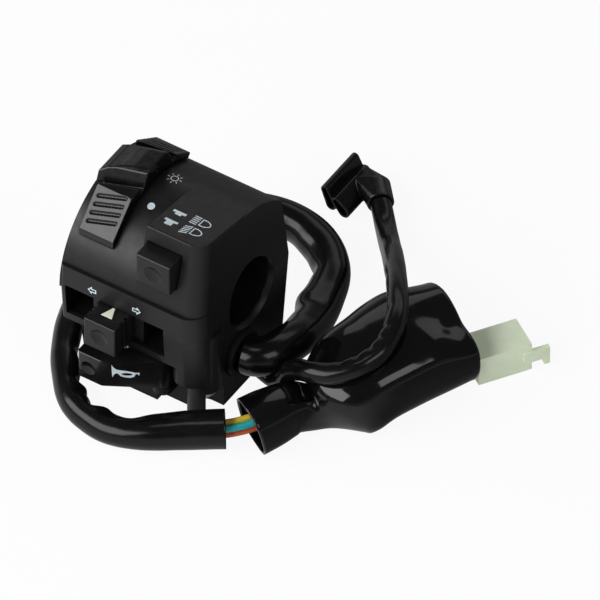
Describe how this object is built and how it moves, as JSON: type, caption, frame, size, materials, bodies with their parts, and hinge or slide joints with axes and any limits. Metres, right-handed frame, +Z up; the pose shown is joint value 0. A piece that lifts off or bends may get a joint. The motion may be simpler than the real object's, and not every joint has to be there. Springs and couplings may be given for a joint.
{
  "type": "handlebar switch cluster",
  "caption": "Left-hand motorbike handlebar switch cluster: clamp housing with rotary light lever, dip button, sliding turn switch, horn paddle, sleeved harness and plug.",
  "frame": {"origin": "on the handlebar's axis, at the middle of the housing's width", "axes": "+X along the bar, out of the inboard bore mouth; -Y towards the rider's thumb; +Z up, the split plane is Z = 0"},
  "size_m": [0.138, 0.1406, 0.0705],
  "materials": {
    "shell": "satin moulded grain",
    "control": "satin",
    "paddle": "polished",
    "seal": "semi-matt",
    "sleeving": "soft glossy vinyl",
    "connector": "translucent nylon",
    "steel": "bright",
    "brass": "bright",
    "white_inlay": "satin",
    "carrier": "natural nylon",
    "board": "laminate",
    "wire_yellow": "satin",
    "wire_teal": "satin",
    "wire_white": "satin",
    "wire_red": "satin"
  },
  "bodies": {
    "housing": {"upper_housing": "shell", "lower_housing": "shell", "housing_screws": "steel", "light_contact_plate": "board", "light_terminals": "brass", "dip_spring": "steel", "dip_contact_block": "board", "dip_terminals": "brass", "turn_contact_plate": "board", "turn_terminals": "brass", "horn_pivot_pin": "steel", "horn_spring": "steel", "horn_contact": "brass", "harness_grommet": "seal", "harness_sleeve": "sleeving", "wire_yellow": "wire_yellow", "wire_teal": "wire_teal", "wire_white": "wire_white", "wire_red": "wire_red", "connector_sleeve": "sleeving", "connector_housing": "connector", "connector_terminals": "brass", "clutch_wires": "sleeving", "clutch_lead_sleeve": "sleeving", "clutch_boot": "seal", "clutch_terminals": "brass"},
    "light": {"light_lever": "control", "light_rotor": "carrier", "light_bridge": "brass", "light_detent_ball": "steel", "light_detent_spring": "steel"},
    "dip": {"dip_button": "control"},
    "turn": {"turn_knob": "control", "turn_marker": "white_inlay", "turn_carriage": "carrier", "turn_bridge": "brass", "turn_detent_ball": "steel", "turn_detent_spring": "steel"},
    "horn": {"horn_lever": "paddle", "horn_rivet": "brass"}
  },
  "joints": [
    {"name": "light_turn", "type": "hinge", "parent": "housing", "child": "light", "pos_m": [0, 0, 0], "axis": [1, 0, 0], "range_deg": [-13, 13]},
    {"name": "dip_push", "type": "slide", "parent": "housing", "child": "dip", "axis": [0, 1, 0], "range_m": [0, 0.0035], "stiffness_N_per_m": 400, "springref_m": -0.003, "deforming": ["dip_spring"]},
    {"name": "turn_slide", "type": "slide", "parent": "housing", "child": "turn", "axis": [1, 0, 0], "range_m": [-0.008, 0.008]},
    {"name": "horn_press", "type": "hinge", "parent": "housing", "child": "horn", "pos_m": [0.0102, -0.0262, -0.0189], "axis": [0, 0, -1], "range_deg": [0, 8], "stiffness_Nm_per_rad": 0.3, "springref_deg": -8.59, "deforming": ["horn_spring"]}
  ]
}
